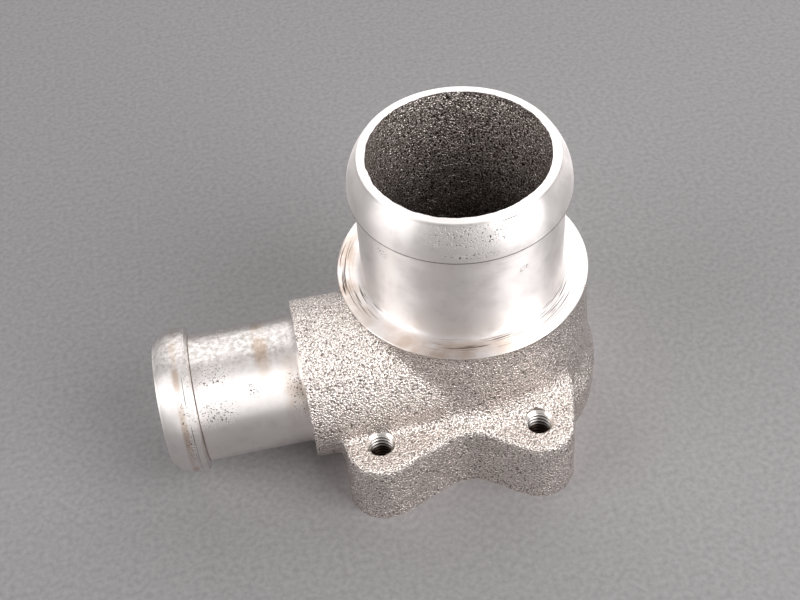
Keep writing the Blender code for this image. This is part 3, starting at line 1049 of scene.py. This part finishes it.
def core(name, radius, length, start, steps):
    """An uneven, slightly tapered cutter with its wide end at the top."""
    narrowing = length * CORE_DRAFT
    rings = round(length / CORE_RING)
    section = [(0.0, length + start)]
    for i in range(rings + 1):
        height = length + start - i * length / rings
        section.append((radius - narrowing * (length + start - height) / length, height))
    section.append((0.0, start))
    form = turned(name, section, steps, CORED)
    for vertex in form.data.vertices:
        side = Vector((vertex.co.x, vertex.co.y, 0.0))
        if side.length > radius / 2:
            wave = noise.noise(vertex.co / CORE_WAVE)
            wave += 1.1 * noise.noise(vertex.co / CORE_RIPPLE)
            vertex.co += side.normalized() * CORE_UNEVEN * wave
    return form


large_core = core("large core", LARGE_CORE, NECK_TOP + 2 * STOCK, -STOCK, 2 * STEPS)
combine(casting, large_core, "DIFFERENCE")
small_core = core("small core", SMALL_CORE, SMALL_END + STOCK, 0.0, SMALL_CORE_STEPS)
combine(casting, onto_side_axis(small_core), "DIFFERENCE")

# %% [markdown]
# ## Seal groove
#
# The photograph doesn't show the underside. A flange like this one holds a
# ring seal in a groove round its passage, and a ring with a plain section
# cuts it.

# %% Seal groove
GROOVE_INNER = 20.6 * MM
GROOVE_OUTER = 24.4 * MM
GROOVE_DEPTH = 2.2 * MM

section = [(GROOVE_INNER, GROOVE_DEPTH), (GROOVE_OUTER, GROOVE_DEPTH)]
section += [(GROOVE_OUTER, -STOCK), (GROOVE_INNER, -STOCK)]
combine(casting, turned("seal groove", section, STEPS, MILLED, ring=True), "DIFFERENCE")

# %% [markdown]
# ## Tapped holes
#
# Both ears take an M6 screw with a pitch of 1 mm. The drill leaves a plain
# hole of 5 mm, and the tap cuts a helical groove into its wall. The groove's
# section is four points, and spin with a rise per step makes it a helix.

# %% Tapped holes
PITCH_M6 = 1.0 * MM
DRILL_RADIUS = 2.5 * MM
MOUTH_RADIUS = 3.02 * MM
MOUTH_CUT = 0.9 * MM
DRILL_STEPS = 48
THREAD_RADIUS = 3.0 * MM
THREAD_OVERLAP = 0.15 * MM
GROOVE_MOUTH = 0.44 * MM
GROOVE_FLOOR = 0.06 * MM
TURN_STEPS = 30
TURNS = 18


def drill(place):
    """The drilled hole with its chamfered mouth."""
    mouth = EAR_HEIGHT - (MOUTH_RADIUS - DRILL_RADIUS)
    above = EAR_HEIGHT + MOUTH_CUT
    section = [(0.0, above), (MOUTH_RADIUS, above), (MOUTH_RADIUS, EAR_HEIGHT)]
    section += [(DRILL_RADIUS, mouth), (DRILL_RADIUS, -STOCK), (0.0, -STOCK)]
    form = turned("drill", section, DRILL_STEPS, TAPPED)
    # What the drill meets above the ear is only the uneven cast skin.
    for face in form.data.polygons:
        if face.center.z > EAR_HEIGHT:
            face.material_index = CAST
    form.data.transform(Matrix.Translation((place.x, place.y, 0.0)))
    return form


def tap(place):
    """The helical groove that the tap cuts."""
    work = bmesh.new()
    inner = DRILL_RADIUS - THREAD_OVERLAP
    corners = [(inner, -GROOVE_MOUTH), (THREAD_RADIUS, -GROOVE_FLOOR)]
    corners += [(THREAD_RADIUS, GROOVE_FLOOR), (inner, GROOVE_MOUTH)]
    points = [work.verts.new((radius, 0.0, height - PITCH_M6)) for radius, height in corners]
    edges = [work.edges.new((points[i - 1], points[i])) for i in range(len(points))]
    bmesh.ops.spin(
        work,
        geom=points + edges,
        cent=(0, 0, 0),
        axis=(0, 0, 1),
        dvec=(0, 0, PITCH_M6 / TURN_STEPS),
        angle=2 * math.pi * TURNS,
        steps=TURN_STEPS * TURNS,
    )
    bmesh.ops.holes_fill(work, edges=work.edges, sides=4)
    bmesh.ops.translate(work, vec=(place.x, place.y, 0.0), verts=work.verts)
    return as_object(work, "tap", TAPPED)


for ear in (EAR_LEFT, EAR_RIGHT):
    combine(casting, drill(ear), "DIFFERENCE")
    combine(casting, tap(ear), "DIFFERENCE")

# %% [markdown]
# ## Finishing the piece
#
# The mesh moves to its place in the frame, its round faces are shaded
# smooth, and its machined edges stay sharp.

# %% Finish the piece
SHARP_FROM = math.radians(32.0)

casting.data.transform(Matrix.Translation(TO_FRAME))
casting.data.shade_smooth()
casting.data.set_sharp_from_angle(angle=SHARP_FROM)
casting.name = "dressed_flange"
casting.data.name = "dressed_flange"
check = bmesh.new()
check.from_mesh(casting.data)
odd = [edge for edge in check.edges if len(edge.link_faces) != 2]
count = sum(len(face.verts) - 2 for face in check.faces)
volume = round(check.calc_volume() / MM**3)
check.free()
print("open or odd edges:", len(odd), "triangles:", count, "volume:", volume, "mm3")
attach(casting, "root")
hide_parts("flange_casting")
